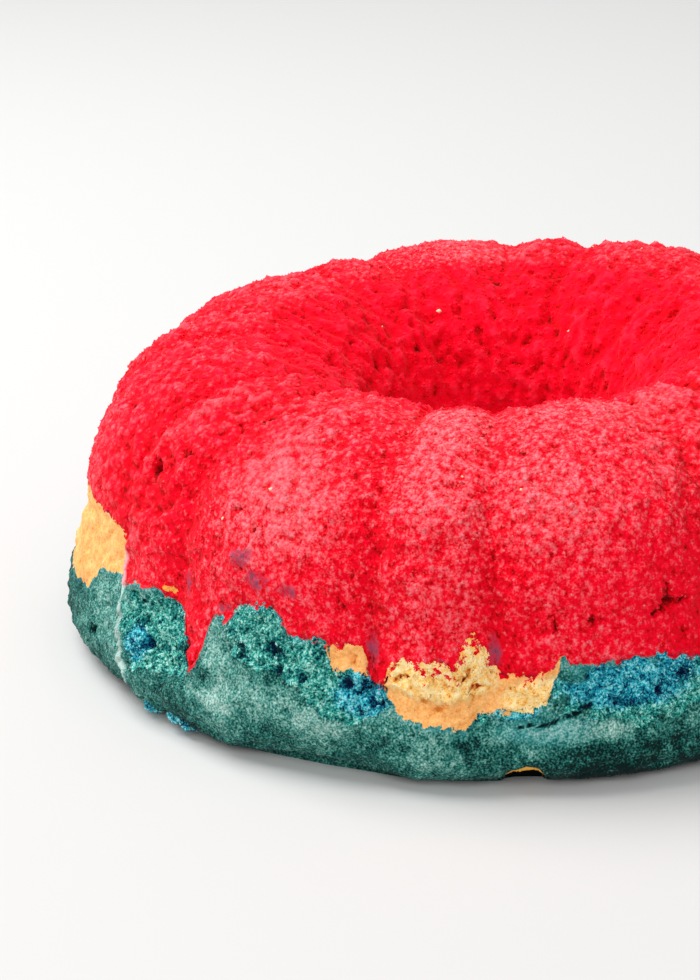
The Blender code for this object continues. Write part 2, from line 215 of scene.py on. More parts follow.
# Lines on the wall, from corner to corner
CRACKS = (
    ((-3, 18), (-1.6, 18.6)),
    ((-1, 18.2), (0.3, 18.6), (1.2, 19.3)),
    ((1.8, 20.2), (2.6, 20.4), (3.4, 21)),
    ((4, 21.9), (5.2, 22.6)),
)
CRACK_HALF_WIDTH = 0.42 * MM
CRACK_DEPTH = 1.2 * MM
CRACK_STRAY = 1.6  # how far a crack strays from its line, in half widths
CRACK_STRAY_SIZE = 1.7 * MM
CRACK_FLOOR = 0.35
RIM = (  # raised pale edge of the torn crust
    ((-63.4, 42), (-62.7, 32.8), (-61.2, 22.9), (-59.6, 13.8), (-57.5, 9)),
)
RIM_HALF_WIDTH = 1.7 * MM
RIM_RISE = 0.7 * MM
RIM_SHAPE = (0.2, 0.8, 3.0 * MM, 31.0)  # flat share, how much its width strays, size and seed
FOLDS = (  # raised ridges of crust
    ((-62.2, 42), (-62.2, 52), (-63.2, 63), (-62, 70), (-60, 77), (-59.5, 80.5)),
    ((-104, 50), (-103, 62), (-101, 70), (-96.5, 75), (-90.5, 80.2)),
    ((121, 44), (120.5, 60), (119, 72), (120, 79)),
)
FOLD_HALF_WIDTH = 2.8 * MM
FOLD_RISE = 1.0 * MM
FOLD_SHAPE = (0.1, 0.6, 4.0 * MM, 47.0)
FOLD_FLOUR_SHEEN = 0.4  # a fold gets more pale flour from the mould and more painted sheen
FLOUR_SHEEN_LEVEL = 0.38  # of the mould's flour and painted sheen on the red wall: 0 for none to 1
FLOUR_SHEEN_UPWARDS = 0.1  # more of it towards the crest
FLOUR_SHEEN_SWING = 0.2
FLOUR_SHEEN_SIZE = 26.0 * MM
MORE_FLOUR_SHEEN = 0.34
LESS_FLOUR_SHEEN = 0.3
HOLE_FLOUR_SHEEN = -0.7
FLOUR_SHEEN_FROM = 30.0 * MM  # height from which there is more
FLOUR_SHEEN_ENDS = (22.0 * MM, 4.0 * MM)  # how far from the crest it sets in
SOFT_FROM = (60.0 * MM, 77.0 * MM)  # heights between which the crust turns soft
SOFT_ZONE_FROM = (36.0 * MM, 48.0 * MM)  # and in the soft zones
SOFT_PAST_CREST = (6.0 * MM, 20.0 * MM)  # and how far from the crest in the hole
# Zones on the wall: azimuth, height, half width and half height. In them
ZONES = {
    "smudge": (  # blue batter smeared into the red
        (-39.2, 52.5, 3, 5.5), (-36.2, 47.5, 3.4, 5), (-31.8, 46.5, 3, 3.2),
        (-41.5, 38.5, 2, 2), (-20.7, 35, 1.6, 8), (-5.8, 36, 1.6, 7.5), (-49, 40.5, 2.2, 5),
        (-63.5, 45, 1.6, 9), (78, 34, 2.2, 8), (142, 37, 2.4, 8), (198, 36, 2.2, 7),
    ),
    "mixed": (  # golden sponge is open crumb, with red crumbs scattered through its upper half
        (-12, 30.5, 9, 9), (-8, 36, 4, 8), (0.5, 24.5, 7.5, 7), (64, 33, 9, 8),
        (126, 38, 10, 8), (216, 37, 10, 8),
    ),
    "bluer": (  # the torn crumb is more blue than green
        (-57, 20, 3.2, 7), (10, 27, 12, 9), (-21.5, 23.5, 5, 7), (-0.5, 17, 8, 6),
        (104, 24, 8, 9), (236, 24, 8, 9),
    ),
    "stain": (  # darker patches on the blue crust
        (-86, 14, 24, 18), (12, 7, 26, 12), (-9, 13.5, 2.6, 3.5), (-7.2, 20, 1, 3),
        (6, 12.2, 4.5, 1.8), (-43, 21, 3, 4), (70, 12, 5, 3), (160, 14, 6, 3),
    ),
    "dusty": (  # flour pales the blue crust
        (-41, 15, 6, 3.5), (-28, 17, 14, 7), (-17.5, 21, 4, 5), (3, 16.5, 9, 4),
        (60, 18, 16, 6), (125, 15, 20, 7), (200, 17, 22, 7), (255, 14, 14, 6),
    ),
    "speck": (  # golden batter dragged into the red's lower edge
        (-52.8, 37, 2.3, 1.3), (72, 34.5, 2, 1.8), (139, 36.5, 2.4, 2),
    ),
    "floured": (  # the red crust is paler: more flour from the mould, and painted sheen
        (-13, 80, 16, 22), (-4, 70, 16, 18), (-36, 66, 14, 20), (24, 78, 14, 14),
        (-14, 45, 20, 18), (95, 74, 24, 20), (178, 76, 20, 14),
    ),
    "bare": (  # less of both
        (16, 48, 15, 28), (-84, 79, 26, 18), (150, 52, 18, 24),
    ),
    "lumpy": (  # the red crust is soft, as it is all over the crest and in the hole
        (-68, 60, 20, 30), (-108, 52, 30, 36), (150, 60, 34, 30),
    ),
    "pressed": (  # the mould left it smooth up to the crest
        (-5, 72, 48, 46), (96, 72, 30, 40), (196, 72, 26, 40),
    ),
}
ZONES = {name: in_metres([1, 3], rows) for name, rows in ZONES.items()}
PAINTED_ZONES = ("smudge", "mixed", "bluer", "stain", "dusty", "speck")
DENTS = in_metres([2], (  # broad ones in the foot: azimuth, half width, depth
    (-28, 12, 2.8), (-61, 5, 1.3), (88, 9, 1.5), (190, 12, 1.8),
))
DENT_HEIGHT = 18.0 * MM
DENT_FULL_HEIGHT = 0.3  # share of it up to which a dent has its full depth
DENT_FLAT = 0.2
# Arch under the foot: azimuth, half width, height, depth. Below its golden lip the blue look paints
# it near-black, a painted shadow
HOLLOW = (-2.6, 2.6, 6.7 * MM, 2.4 * MM)
LIP = 1.3  # mm of golden sponge that shows along the arch
LIP_SINK = 0.15 * MM
LIP_EDGE = (-0.1, 0.3)  # mm below the arch's edge
LIP_STEP = 0.8  # mm from the lip to the full depth
OFF_ARCH = -50.0  # mm, to the sides of it

SMOOTH_ANGLE = 70.0  # between two faces that are shaded as one surface
MERGE = 0.00001
SEED = 4


def linear(value):
    """A colour given as sRGB hex, as the linear RGBA that the shader wants."""
    channels = [int(value[i:i + 2], 16) / 255 for i in (1, 3, 5)]
    curve = [c / 12.92 if c <= 0.04045 else ((c + 0.055) / 1.055) ** 2.4 for c in channels]
    return (*curve, 1.0)


# ---- shape functions, on arrays
def smoothstep(value, low, high):
    share = np.clip((value - low) / (high - low), 0.0, 1.0)
    return share * share * (3.0 - 2.0 * share)


def fading(away, full):
    """1 up to this share of the way out, then down to 0 at the edge."""
    return 1.0 - smoothstep(away, full, 1.0)


def off_centre(azimuth, centre, half_arc):
    """How many half widths an azimuth is from a centre."""
    return np.abs((azimuth - centre + 180.0) % 360.0 - 180.0) / half_arc


def off_middle(azimuth, height, centre, middle, half_arc, half_height):
    """The same for a zone, with its height."""
    return np.hypot(off_centre(azimuth, centre, half_arc), (height - middle) / half_height)


def around(azimuth, radius, height):
    """Points at these azimuths, radii and heights."""
    turn = np.radians(azimuth)
    across, ahead = radius * np.sin(turn), -radius * np.cos(turn)
    return np.stack(np.broadcast_arrays(across, ahead, height), axis=-1)


def waves(place, size, seed=0.0):
    """Smooth noise with lumps of this size at each place, about -0.7 to 0.7. Another seed gives
    another pattern."""
    return np.array([noise.noise(point) for point in (place / size + seed).tolist()])


def smooth_curve(knots, samples=24):
    """Centripetal Catmull-Rom curve through the knots of an outline."""
    knots = np.array(knots)
    knots = np.vstack([2 * knots[0] - knots[1], knots, 2 * knots[-1] - knots[-2]])
    curve = []
    for before, start, end, after in zip(knots, knots[1:], knots[2:], knots[3:]):
        steps = (start - before, end - start, after - end)
        t1, t2, t3 = np.cumsum([np.linalg.norm(step) ** 0.5 for step in steps])
        t = np.linspace(t1, t2, samples, endpoint=False)[:, None]
        a1 = before + steps[0] * t / t1
        a2 = start + steps[1] * (t - t1) / (t2 - t1)
        a3 = end + steps[2] * (t - t2) / (t3 - t2)
        b1 = a1 + (a2 - a1) * t / t2
        b2 = a2 + (a3 - a2) * (t - t1) / (t3 - t1)
        curve.append(b1 + (b2 - b1) * (t - t1) / (t2 - t1))
    return np.vstack(curve + [knots[-2:-1]])


OUT_RADIUS, OUT_HEIGHT = smooth_curve(OUTLINE).T
ARC = np.concatenate([[0.0], np.cumsum(np.hypot(np.diff(OUT_RADIUS), np.diff(OUT_HEIGHT)))])
CREST = int(np.argmax(OUT_HEIGHT))
OUT_NORMAL_R = -np.gradient(OUT_HEIGHT, ARC)
OUT_NORMAL_Z = np.gradient(OUT_RADIUS, ARC)


def radius_at(arc):
    return np.interp(arc, ARC, OUT_RADIUS)


def height_at(arc):
    return np.interp(arc, ARC, OUT_HEIGHT)


def normal_at(arc):
    """The outline's outward direction, along the radius and upwards."""
    return np.interp(arc, ARC, OUT_NORMAL_R), np.interp(arc, ARC, OUT_NORMAL_Z)


def wall_arc(height):
    """How far along the outline the wall has this height."""
    return np.interp(-height, -OUT_HEIGHT[CREST:], ARC[CREST:])


def hole_arc(height):
    return np.interp(height, OUT_HEIGHT[:CREST + 1], ARC[:CREST + 1])


def on_surface(azimuth, arc):
    """Points of the unfluted surface."""
    return around(azimuth, radius_at(arc), height_at(arc))


def sharp_flutes(azimuth):
    """Depth of the fluting below a wide lobe's crest, as a share of FLUTE_DEPTH."""
    from_ridge = np.abs((azimuth - FIRST_RIDGE + FLUTE_ARC / 2) % FLUTE_ARC - FLUTE_ARC / 2)
    from_lobe = FLUTE_ARC / 2 - from_ridge
    lobe_half = (FLUTE_ARC - RIDGE_ARC) / 2
    on_ridge = from_ridge < RIDGE_ARC / 2
    across = np.where(on_ridge, from_ridge / (RIDGE_ARC / 2), from_lobe / lobe_half)
    arch = 1.0 - np.sqrt(1.0 - (CREASE_SHARPNESS * across) ** 2)
    arch /= 1.0 - math.sqrt(1.0 - CREASE_SHARPNESS ** 2)
    return np.where(on_ridge, RIDGE_DROP + (1.0 - RIDGE_DROP) * arch, arch)


def flute_sink(azimuth):
    """The same with its creases rounded."""
    turns = np.linspace(-1, 1, 5) * CREASE_FILLET
    return np.mean([sharp_flutes(azimuth + turn) for turn in turns], axis=0)


def flute_strength(radius, height):
    inside = CREST_FLUTING * smoothstep(height, THROAT_FADE * HEIGHT, HEIGHT)
    shoulder = 1.0 - (1.0 - CREST_FLUTING) * smoothstep(height, CREST_FADE * HEIGHT, HEIGHT)
    foot = FOOT_FLUTING + (1.0 - FOOT_FLUTING) * smoothstep(height, 0.0, FOOT_FADE * HEIGHT)
    return np.where(radius < CREST_RADIUS, inside, shoulder * foot)


def torn_share(azimuth, height, place):
    """0 on whole crust to 1 where it came off, and how deep the surface lies there."""
    ragged = TORN_STRAY * waves(place, TORN_BAYS, 37.0) + TORN_STRAY * waves(place, TORN_FRAY, 41.0)
    share = np.zeros_like(azimuth)
    depth = np.zeros_like(azimuth)
    for *zone, sink in TORN_PATCHES + THIN_TORN:
        inside = fading(off_middle(azimuth, height, *zone) + ragged, TORN_FULL)
        share = np.maximum(share, inside)
        depth = np.maximum(depth, sink * inside)
    return share, depth


def in_zones(azimuth, height, name):
    """0 outside the zones of this name to 1 in the middle of one."""
    share = np.zeros_like(azimuth)
    for zone in ZONES[name]:
        share = np.maximum(share, fading(off_middle(azimuth, height, *zone), ZONE_FULL))
    return share


def pit_list():
    """Middle, radius and depth of every pit."""
    draw = np.random.default_rng(SEED)
    pits = []
    for table, arc_of in ((PITS, wall_arc), (HOLE_PITS, hole_arc)):
        for azimuth, height, radius, depth in table:
            pits.append((on_surface(azimuth, arc_of(height)), radius, depth))
    for _ in range(LOOSE_PITS):
        azimuth = draw.uniform(-180.0, 180.0)
        arc = draw.uniform(*LOOSE_PIT_REACH) * ARC[-1]
        radius = draw.uniform(*LOOSE_PIT_RADIUS) * MM
        pits.append((on_surface(azimuth, arc), radius, radius * draw.uniform(*LOOSE_PIT_DEPTH)))
    return pits


def pit_depth(place):
    """How deep the pits are at each place, and 0 to 1 for the painted shade in them: how far inside
    a pit it is, more in a deeper pit.
    """
    wobble = 1.0 + PIT_STRAY * waves(place, PIT_STRAY_SIZE, 23.0)
    depth = np.zeros(len(place))
    share = np.zeros(len(place))
    for middle, radius, deepest in pit_list():
        near = np.flatnonzero(np.abs(place - middle).max(axis=1) < 2 * radius)
        away = np.linalg.norm(place[near] - middle, axis=1) / radius * wobble[near]
        inside = fading(away, PIT_FLOOR)
        depth[near] = np.maximum(depth[near], deepest * inside)
        share[near] = np.maximum(share[near], inside * min(deepest / DARK_PIT, 1.0))
    return depth, share


def from_lines(place, lines):
    """Distance of each place from the nearest of these lines on the wall."""
    nearest = np.full(len(place), 1.0)
    for line in lines:
        corners = np.array([on_surface(azimuth, wall_arc(height * MM)) for azimuth, height in line])
        for start, end in zip(corners, corners[1:]):
            along = end - start
            share = np.clip((place - start) @ along / (along @ along), 0.0, 1.0)
            away = np.linalg.norm(place - start - share[:, None] * along, axis=1)
            nearest = np.minimum(nearest, away)
    return nearest


def ridges(place, lines, half_width, flat, stray, size, seed):
    """1 on these lines, down to 0 a half width away, which strays by this much."""
    away = from_lines(place, lines) * (1.0 + stray * waves(place, size, seed))
    return 1.0 - smoothstep(away, flat * half_width, half_width)


def cracks(place):
    """The same for the cracks, where the line itself strays."""
    away = from_lines(place, CRACKS)
    away += CRACK_HALF_WIDTH * CRACK_STRAY * waves(place, CRACK_STRAY_SIZE, 29.0)
    return 1.0 - smoothstep(away, CRACK_FLOOR * CRACK_HALF_WIDTH, CRACK_HALF_WIDTH)


def hollow_depth(azimuth, height):
    """The arch under the foot, and how many mm below its edge a place lies."""
    centre, half_arc, top, depth = HOLLOW
    across = off_centre(azimuth, centre, half_arc)
    edge = top * np.sqrt(np.maximum(1.0 - across ** 2, 0.0))
    below = np.where(across < 1.0, (edge - height) / MM, OFF_ARCH)
    past_lip = smoothstep(below, LIP, LIP + LIP_STEP)
    return LIP_SINK * smoothstep(below, *LIP_EDGE) + (depth - LIP_SINK) * past_lip, below


def foot_depth(azimuth, height):
    """How far its notches and dents draw the foot in."""
    depth = np.zeros_like(azimuth)
    for dips, full, top, flat in (
        (NOTCHES, 0.0, NOTCH_HEIGHT, NOTCH_FLAT),
        (DENTS, DENT_FULL_HEIGHT * DENT_HEIGHT, DENT_HEIGHT, DENT_FLAT),
    ):
        low = 1.0 - smoothstep(height, full, top)
        for centre, half_arc, sink in dips:
            dip = sink * low * fading(off_centre(azimuth, centre, half_arc), flat)
            depth = np.maximum(depth, dip)
    return depth


def softness(azimuth, arc):
    """1 where the red crust is soft and lumpy: round the crest, in the hole and in some zones."""
    height = height_at(arc)
    in_zone = in_zones(azimuth, height, "lumpy") * smoothstep(height, *SOFT_ZONE_FROM)
    soft = np.maximum(smoothstep(height, *SOFT_FROM), in_zone)
    soft = soft * (1.0 - in_zones(azimuth, height, "pressed"))
    in_hole = smoothstep(ARC[CREST] - arc, *SOFT_PAST_CREST)
    return soft + (1.0 - soft) * in_hole


def flour(azimuth, arc, place):
    """0 where the red crust is bare to 1 where flour clings to it and a painted sheen lies on it,
    and below 0 in the hole, which has neither.
    """
    height = height_at(arc)
    near_crest, on_crest = FLOUR_SHEEN_ENDS
    on_wall = smoothstep(arc, ARC[CREST] - near_crest, ARC[CREST] - on_crest)
    up = smoothstep(height, FLOUR_SHEEN_FROM, HEIGHT)
    share = FLOUR_SHEEN_LEVEL + FLOUR_SHEEN_UPWARDS * up + FLOUR_SHEEN_SWING * waves(place, FLOUR_SHEEN_SIZE, 43.0)
    share += MORE_FLOUR_SHEEN * in_zones(azimuth, height, "floured")
    share -= LESS_FLOUR_SHEEN * in_zones(azimuth, height, "bare")
    return np.clip(share, 0.0, 1.0) * on_wall + HOLE_FLOUR_SHEEN * (1.0 - on_wall)


def meeting_height(azimuth):
    turn = np.radians(azimuth)
    height = MEETING_HEIGHT + RIPPLE * (np.sin(13 * turn) + 0.7 * np.sin(29 * turn + 1.0))
    for centre, half_arc, rise in TONGUES + DRIPS:
        height = height + rise * fading(off_centre(azimuth, centre, half_arc), TONGUE_FLAT)
    return height


def windows(azimuth):
    """How far open a window of golden sponge is, and its lowest and highest point."""
    meeting = meeting_height(azimuth)
    rim = around(azimuth, WAIST_RADIUS, 0.0)
    ragged_high, ragged_low = [
        RAGGED * (waves(rim, RAGGED_SIZE, coarse) + waves(rim, RAGGED_SIZE / 2, fine))
        for coarse, fine in ((0.0, 5.0), (9.0, 13.0))
    ]
    openness = np.zeros_like(azimuth)
    low = meeting + ragged_high
    high = meeting + ragged_high
    for centre, half_arc, lowest, highest in WINDOWS:
        across = off_centre(azimuth, centre, half_arc)
        inside = across < 1.0
        opened = np.sqrt(1.0 - np.minimum(across, 1.0) ** 4)
        openness = np.where(inside, opened, openness)
        lowered = meeting + (lowest - meeting + ragged_low - ragged_high) * opened + ragged_high
        low = np.where(inside, lowered, low)
        high = np.where(inside, meeting + (highest - meeting) * opened + ragged_high, high)
    for tongues, line in ((LOW_TONGUES, low), (HIGH_TONGUES, high)):
        for centre, half_arc, rise, flat in tongues:
            step = rise * fading(off_centre(azimuth, centre, half_arc), flat)
            line += step * (openness > 0.0)
    return openness, np.minimum(low, high), high


def lines(azimuth, arc):
    """How far open a window is, and how many mm of the surface lie between here and the red
    sponge's lower edge, and the blue sponge's upper edge."""
    openness, low, high = windows(azimuth)
    outside = arc > ARC[CREST]
    hole = arc - hole_arc(BED_MIDDLE)
    above_red = np.where(outside, wall_arc(high) - arc, hole)
    above_blue = np.where(outside, wall_arc(low) - arc, hole)
    return openness, above_red / MM, above_blue / MM


# ---- the fine surface
def skin(azimuth, arc):
    """Places on the cake's surface at these azimuths and lengths along the outline, and what
    the materials want to know there."""
    radius = radius_at(arc)
    height = height_at(arc)
    normal_r, normal_z = normal_at(arc)
    place = around(azimuth, radius, height)
    outside = arc > ARC[CREST]
    flutes = flute_sink(azimuth) * flute_strength(radius, height)
    sink = FLUTE_DEPTH * flutes

    torn, torn_depth = torn_share(azimuth, height, place)
    torn = torn * outside
    sink += torn_depth * outside * (TORN_LEVEL + TORN_SWING * waves(place, TORN_GRAIN))
    sink += foot_depth(azimuth, height) * outside
    above_base = smoothstep(height, 0.0, UNEVEN_FROM * HEIGHT)
    sink += UNEVENNESS * waves(place, UNEVEN_SIZE) * above_base

    loose = smoothstep(height, 0.0, SMOOTH_FOOT)
    soft = softness(azimuth, arc)
    lumps = waves(place, LUMP_SIZE, 3.0)
    crumb = waves(place, CRUMB_SIZE, 7.0)
    sink += LUMP_DEPTH * (1.0 + SOFTER_LUMPS * soft) * lumps * loose
    sink += CRUMB_DEPTH * (1.0 + SOFTER_CRUMB * soft) * crumb * loose
    crags = waves(place, CRAG_SIZE, 11.0) + CRAG_DETAIL * waves(place, CRAG_SIZE / 2, 17.0)
    sink += CRAG_DEPTH * torn * crags

    pits, pit = pit_depth(place)
    sink += pits
    crack = cracks(place)
    sink += CRACK_DEPTH * crack
    rim = ridges(place, RIM, RIM_HALF_WIDTH, *RIM_SHAPE)
    sink -= RIM_RISE * rim
    fold = ridges(place, FOLDS, FOLD_HALF_WIDTH, *FOLD_SHAPE)
    sink -= FOLD_RISE * fold * outside
    hollow, below_arch = hollow_depth(azimuth, height)
    sink += hollow * outside

    level = np.maximum(height - normal_z * sink, 0.0) * (height > 0.0)
    _, above_red, above_blue = lines(azimuth, arc)
    none = np.zeros_like(azimuth)
    # pit, with the cracks, carries the painted shade that the looks put in pits and cracks
    facts = dict(
        torn=torn, flutes=flutes, soft=soft, rim=rim, below_arch=below_arch, lift=none, bright=none,
        # dip: how deep a place lies in the crumb's dips, by which the red look paints shade and
        # thins the pale pink
        pit=np.maximum(pit, crack), dip=(crumb + 0.5 * lumps) * (0.2 + 0.8 * soft),
        flour=flour(azimuth, arc, place) + FOLD_FLOUR_SHEEN * fold * outside,
        above_red_line=above_red, above_blue_line=above_blue,
    )
    for name in PAINTED_ZONES:
        facts[name] = in_zones(azimuth, height, name) * outside
    return around(azimuth, radius - normal_r * sink, level), facts


def deselect():
    for thing in bpy.context.view_layer.objects:
        thing.select_set(False)


def spun_ring(name, rows):
    """Spin a closed loop of this many points once round the axis. Attribute "row" counts the
    points down the loop, which the shape functions then put in their places."""
    deselect()
    bpy.ops.mesh.primitive_circle_add(
        vertices=rows,
        radius=HEIGHT / 2,
        location=(CREST_RADIUS, 0.0, HEIGHT / 2),
        rotation=(math.pi / 2, 0.0, 0.0),
    )
    ring = bpy.context.object
    ring.name = name
    ring.data.name = name
    bpy.ops.object.transform_apply(location=True, rotation=True, scale=True)
    row = ring.data.attributes.new("row", "FLOAT", "POINT")
    row.data.foreach_set("value", np.arange(rows, dtype=np.float32))
    spin = ring.modifiers.new("spin", "SCREW")
    spin.steps = COLUMNS
    spin.render_steps = COLUMNS
    spin.use_merge_vertices = True
    spin.merge_threshold = MERGE
    bpy.ops.object.modifier_apply(modifier="spin")
    return ring


def store(mesh, facts):
    """Give the mesh one value of each fact for every point."""
    for name, values in facts.items():
        attribute = mesh.attributes.new(name, "FLOAT", "POINT")
        attribute.data.foreach_set("value", values.astype(np.float32))


def settle(ring, place_of):
    """Put every point of a ring where its row and azimuth belong, and store what the
    materials want to know."""
    mesh = ring.data
    points = np.zeros(len(mesh.vertices) * 3, np.float32)
    mesh.vertices.foreach_get("co", points)
    points = points.reshape(-1, 3).astype(float)
    rows = np.zeros(len(points), np.float32)
    mesh.attributes["row"].data.foreach_get("value", rows)
    azimuth = np.degrees(np.arctan2(points[:, 0], -points[:, 1]))
    points, facts = place_of(rows.astype(float), azimuth)
    mesh.vertices.foreach_set("co", points.astype(np.float32).ravel())
    mesh.attributes.remove(mesh.attributes["row"])
    store(mesh, facts)
    deselect()
    ring.select_set(True)
    bpy.context.view_layer.objects.active = ring
    bpy.ops.object.mode_set(mode="EDIT")
    bpy.ops.mesh.select_all(action="SELECT")
    bpy.ops.mesh.normals_make_consistent(inside=False)
    bpy.ops.object.mode_set(mode="OBJECT")
    bpy.ops.object.shade_smooth_by_angle(angle=math.radians(SMOOTH_ANGLE))


def with_inner_path(azimuth, row, last_skin_row, points, path):
    """Rows past the skin run through the cake's inside, along a path of radius and height."""
    for number, (radius, height) in enumerate(path, start=last_skin_row + 1):
        here = np.abs(row - number) < 0.5
        points = np.where(here[:, None], around(azimuth, radius, height), points)
    return points


def red_place(row, azimuth):
    """The red sponge: up the wall, down the hole, and back along the bed."""
    _, _, high = windows(azimuth)
    start = wall_arc(high)
    up = np.clip(row / WALL_ROWS, 0.0, 1.0)
    down = np.clip((row - WALL_ROWS) / HOLE_ROWS, 0.0, 1.0)
    arc = start + (ARC[CREST] - start) * up + (hole_arc(BED_MIDDLE) - ARC[CREST]) * down
    points, facts = skin(azimuth, arc)
    path = [*BED_TOP, (TIP_RADIUS, high + TIP_THICKNESS / 2)]
    return with_inner_path(azimuth, row, WALL_ROWS + HOLE_ROWS, points, path), facts


def golden_place(row, azimuth):
    """The golden sponge: down the wall in its windows, and round the lens inside."""
    openness, low, high = windows(azimuth)
    share = np.clip(row / TIP_ROWS, 0.0, 1.0)
    arc = wall_arc(high) + (wall_arc(low) - wall_arc(high)) * share
    points, facts = skin(azimuth, arc)
    tip_height = (low + high) / 2 + (0.5 - share) * TIP_THICKNESS
    hidden = around(azimuth, TIP_RADIUS, tip_height)
    points = np.where((openness > 0.0)[:, None], points, hidden)
    path = [*reversed(BED_UNDER), *BED_TOP]
    return with_inner_path(azimuth, row, TIP_ROWS, points, path), facts


def blue_place(row, azimuth):
    """The blue sponge: down the foot, under it, up the hole, and back along the bed."""
    _, low, _ = windows(azimuth)
    level = wall_arc(MEETING_HEIGHT)
    down = np.clip(row / FOOT_ROWS, 0.0, 1.0)
    arc = level + (ARC[-1] - level) * down + (wall_arc(low) - level) * (1.0 - down) ** 2
    under = np.clip((row - FOOT_ROWS) / UNDER_ROWS, 0.0, 1.0)
    up = np.clip((row - FOOT_ROWS - UNDER_ROWS) / INNER_ROWS, 0.0, 1.0)
    arc = np.where(row > FOOT_ROWS + UNDER_ROWS - 0.5, hole_arc(BED_MIDDLE) * up, arc)
    points, facts = skin(azimuth, arc)
    foot = np.hypot(points[:, 0], points[:, 1])
    flat = around(azimuth, foot + (HOLE_RADIUS - foot) * under, 0.0)
    on_underside = (row > FOOT_ROWS - 0.5) & (row < FOOT_ROWS + UNDER_ROWS + 0.5)
    points = np.where(on_underside[:, None], flat, points)
    path = [*BED_UNDER, (TIP_RADIUS, low - TIP_THICKNESS / 2)]
    return with_inner_path(azimuth, row, BLUE_ROWS, points, path), facts


# ---- loose grains
GRAIN_CORNERS = np.array([
    (1, 0, 0), (0, 1, 0), (-1, 0, 0), (0, -1, 0), (0, 0, 1), (0, 0, -1),
], float)
GRAIN_FACES = np.array([
    (0, 1, 4), (1, 2, 4), (2, 3, 4), (3, 0, 4), (1, 0, 5), (2, 1, 5), (3, 2, 5), (0, 3, 5),
])
GRAIN_ROUGHNESS = (0.65, 1.3)  # a corner's distance from the middle, in radii
GRAIN_FLATNESS = 0.75
GRAIN_SUNK = 0.2  # share of a grain's radius
LUMP_SUNK = 0.5
LOWEST_GRAIN = 1.2  # radii above the underside
CLEAR = 0.3  # mm from a meeting line to the nearest grain
# Only grains on their own sponge are kept
RED_DRAWN, RED_KEPT = 27000, 24000
GOLDEN_DRAWN, GOLDEN_KEPT = 90000, 9000
BLUE_DRAWN, BLUE_KEPT = 60000, 20000
LUMPS_DRAWN = 16000
# Radii in mm, and how much more: as a share on the crest, in mm where the sponge is open
RED_RADIUS, MORE_ON_CREST = (0.3, 0.7), 0.5
GOLDEN_RADIUS, MORE_WHERE_MIXED = (0.2, 0.4), 0.45
BLUE_RADIUS, MORE_WHERE_TORN = (0.2, 0.45), 0.4
LUMP_RADIUS = (0.7, 1.35)
FRINGE_RADIUS = (0.35, 1.0)
GOLDEN_SHARE, BLUE_SHARE = 0.12, 0.22  # of those drawn, kept where the sponge is whole
LARGER_FROM = (60.0 * MM, 78.0 * MM)  # heights between which the red ones grow
LOWEST_LUMP = 46.0 * MM  # on the wall
LUMPS_FADE = (74.0 * MM, 48.0 * MM)  # heights between which they thin out
LUMPS_IN_HOLE = 3.0 * MM  # upwards from the meeting line there
GOLDEN_PAST_LINE = 1.5  # mm into the red, where the two are mixed
BLUE_BELOW = MEETING_HEIGHT + 14.0 * MM
PALE_CRUMBS = 0.0015  # share of the red grains
# Crumbs squeezed out at the foot: first and last azimuth, how many
FRINGE = ((-55.6, -53.0, 40), (-51.5, -45.5, 110))
FRINGE_REACH = 2.2 * MM
FRINGE_LEVEL = (0.6, 4.0)  # mm above the underside


def spread(draw, count, first, last):
    """Azimuths and arcs of this many grains, even over the surface between two arcs."""
    arcs = np.linspace(first, last, 400)
    area = np.cumsum(radius_at(arcs))
    return draw.uniform(-180.0, 180.0, count), np.interp(draw.random(count) * area[-1], area, arcs)


def grain_piece(name, draw, azimuth, arc, radius, bright=0.0, reach=0.0, sunk=GRAIN_SUNK):
    """Rough grains of these sizes lying on the surface, joined in one mesh. Reach is how far a
    grain is pushed outwards."""
    count = len(azimuth)
    points, facts = skin(azimuth, arc)
    facts["lift"] = draw.uniform(0.0, 1.0, count)
    facts["bright"] = np.full(count, 1.0) * bright
    turn = np.radians(azimuth)
    out = around(azimuth, *normal_at(arc))
    side = np.stack([np.cos(turn), np.sin(turn), 0.0 * turn], axis=1)
    along = np.cross(out, side)
    spin = draw.uniform(0.0, math.tau, count)[:, None]
    first = side * np.cos(spin) + along * np.sin(spin)
    second = np.cross(out, first)
    corners = GRAIN_CORNERS * draw.uniform(*GRAIN_ROUGHNESS, (count, len(GRAIN_CORNERS), 1))
    shape = (
        corners[:, :, 0:1] * first[:, None]
        + corners[:, :, 1:2] * second[:, None]
        + corners[:, :, 2:3] * out[:, None] * GRAIN_FLATNESS
    )
    middle = points - out * radius[:, None] * sunk
    middle += around(azimuth, reach, 0.0)
    middle[:, 2] = np.maximum(middle[:, 2], LOWEST_GRAIN * radius)
    vertices = (middle[:, None] + shape * radius[:, None, None]).reshape(-1, 3)
    faces = GRAIN_FACES + len(GRAIN_CORNERS) * np.arange(count)[:, None, None]
    mesh = bpy.data.meshes.new(name)
    mesh.from_pydata(vertices, [], faces.reshape(-1, 3))
    store(mesh, {fact: np.repeat(values, len(GRAIN_CORNERS)) for fact, values in facts.items()})
    mesh.shade_smooth()
    piece = bpy.data.objects.new(name, mesh)
    bpy.context.scene.collection.objects.link(piece)
    return piece


def red_grains():
    """Crumbs all over the red sponge, larger ones on the crest."""
    draw = np.random.default_rng(SEED + 1)
    azimuth, arc = spread(draw, RED_DRAWN, hole_arc(BED_MIDDLE), ARC[-1])
    _, above_red, _ = lines(azimuth, arc)
    keep = np.flatnonzero(above_red > CLEAR)[:RED_KEPT]
    on_crest = smoothstep(height_at(arc[keep]), *LARGER_FROM)
    radius = draw.uniform(*RED_RADIUS, len(keep)) * (1.0 + MORE_ON_CREST * on_crest) * MM
    pale = draw.random(len(keep)) < PALE_CRUMBS
    return grain_piece("red_grains", draw, azimuth[keep], arc[keep], radius, pale)


